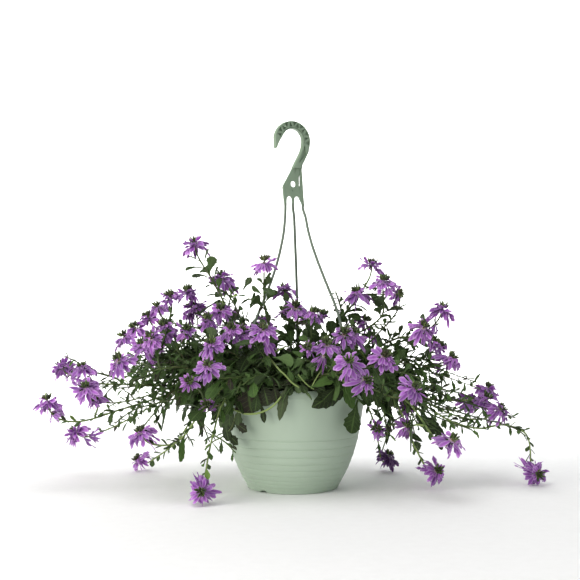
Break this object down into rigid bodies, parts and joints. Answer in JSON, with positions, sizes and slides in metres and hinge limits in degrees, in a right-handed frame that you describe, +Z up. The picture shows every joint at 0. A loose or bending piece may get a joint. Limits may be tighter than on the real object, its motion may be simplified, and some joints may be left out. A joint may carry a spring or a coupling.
{
  "type": "flower hanging basket",
  "caption": "Ribbed round hanging pot filled with soil and a trailing fan flower plant, with a three-strand moulded hanger and open hook.",
  "frame": {"origin": "the seat inside the top of the hook, where a rail or bracket arm carries the basket", "axes": "+Z up, -Y towards the viewer of the picture, +X to that viewer's right; the pot's axis is vertical and stands 2 mm to the +X side of the seat, and the foot's underside is 636 mm below it"},
  "size_m": [0.9087, 0.5066, 0.65],
  "materials": {
    "pot_plastic": "injection-moulded polypropylene, satin sage green",
    "hanger_plastic": "injection-moulded polypropylene, darker satin sage green",
    "soil": "moist peat-free potting soil with bark crumbs",
    "foliage": "toothed leaves and juicy stems, dark green above and lighter below",
    "petal": "thin mauve petals with paler edges and a pale throat"
  },
  "bodies": {
    "root": {"flower_head_01": "petal", "flower_head_02": "petal", "flower_head_03": "petal", "flower_head_04": "petal", "flower_head_05": "petal", "flower_head_06": "petal", "flower_head_07": "petal", "flower_head_08": "petal", "flower_head_09": "petal", "flower_head_10": "petal", "flower_head_11": "petal", "flower_head_12": "petal", "flower_head_13": "petal", "flower_head_14": "petal", "flower_head_15": "petal", "flower_head_16": "petal", "flower_head_17": "petal", "flower_head_18": "petal", "flower_head_19": "petal", "flower_head_20": "petal", "flower_head_21": "petal", "flower_head_22": "petal", "flower_head_23": "petal", "flower_head_24": "petal", "flower_head_25": "petal", "flower_head_26": "petal", "flower_head_27": "petal", "flower_head_28": "petal", "flower_head_29": "petal", "flower_head_30": "petal", "flower_head_31": "petal", "flower_head_32": "petal", "flower_head_33": "petal", "flower_head_34": "petal", "flower_head_35": "petal", "flower_head_36": "petal", "flower_head_37": "petal", "flower_head_38": "petal", "flower_head_39": "petal", "flower_head_40": "petal", "flower_head_41": "petal", "flower_head_42": "petal", "flower_head_43": "petal", "flower_head_44": "petal", "flower_head_45": "petal", "flower_head_46": "petal", "hanger": "hanger_plastic", "pot": "pot_plastic", "soil": "soil", "spray_back": "foliage", "spray_back_left": "foliage", "spray_crown": "foliage", "spray_front_left": "foliage", "spray_front_right": "foliage", "spray_left_front": "foliage", "spray_left_high": "foliage", "spray_left_low": "foliage", "spray_right_front": "foliage", "spray_right_high": "foliage", "spray_right_low": "foliage"}
  },
  "joints": []
}
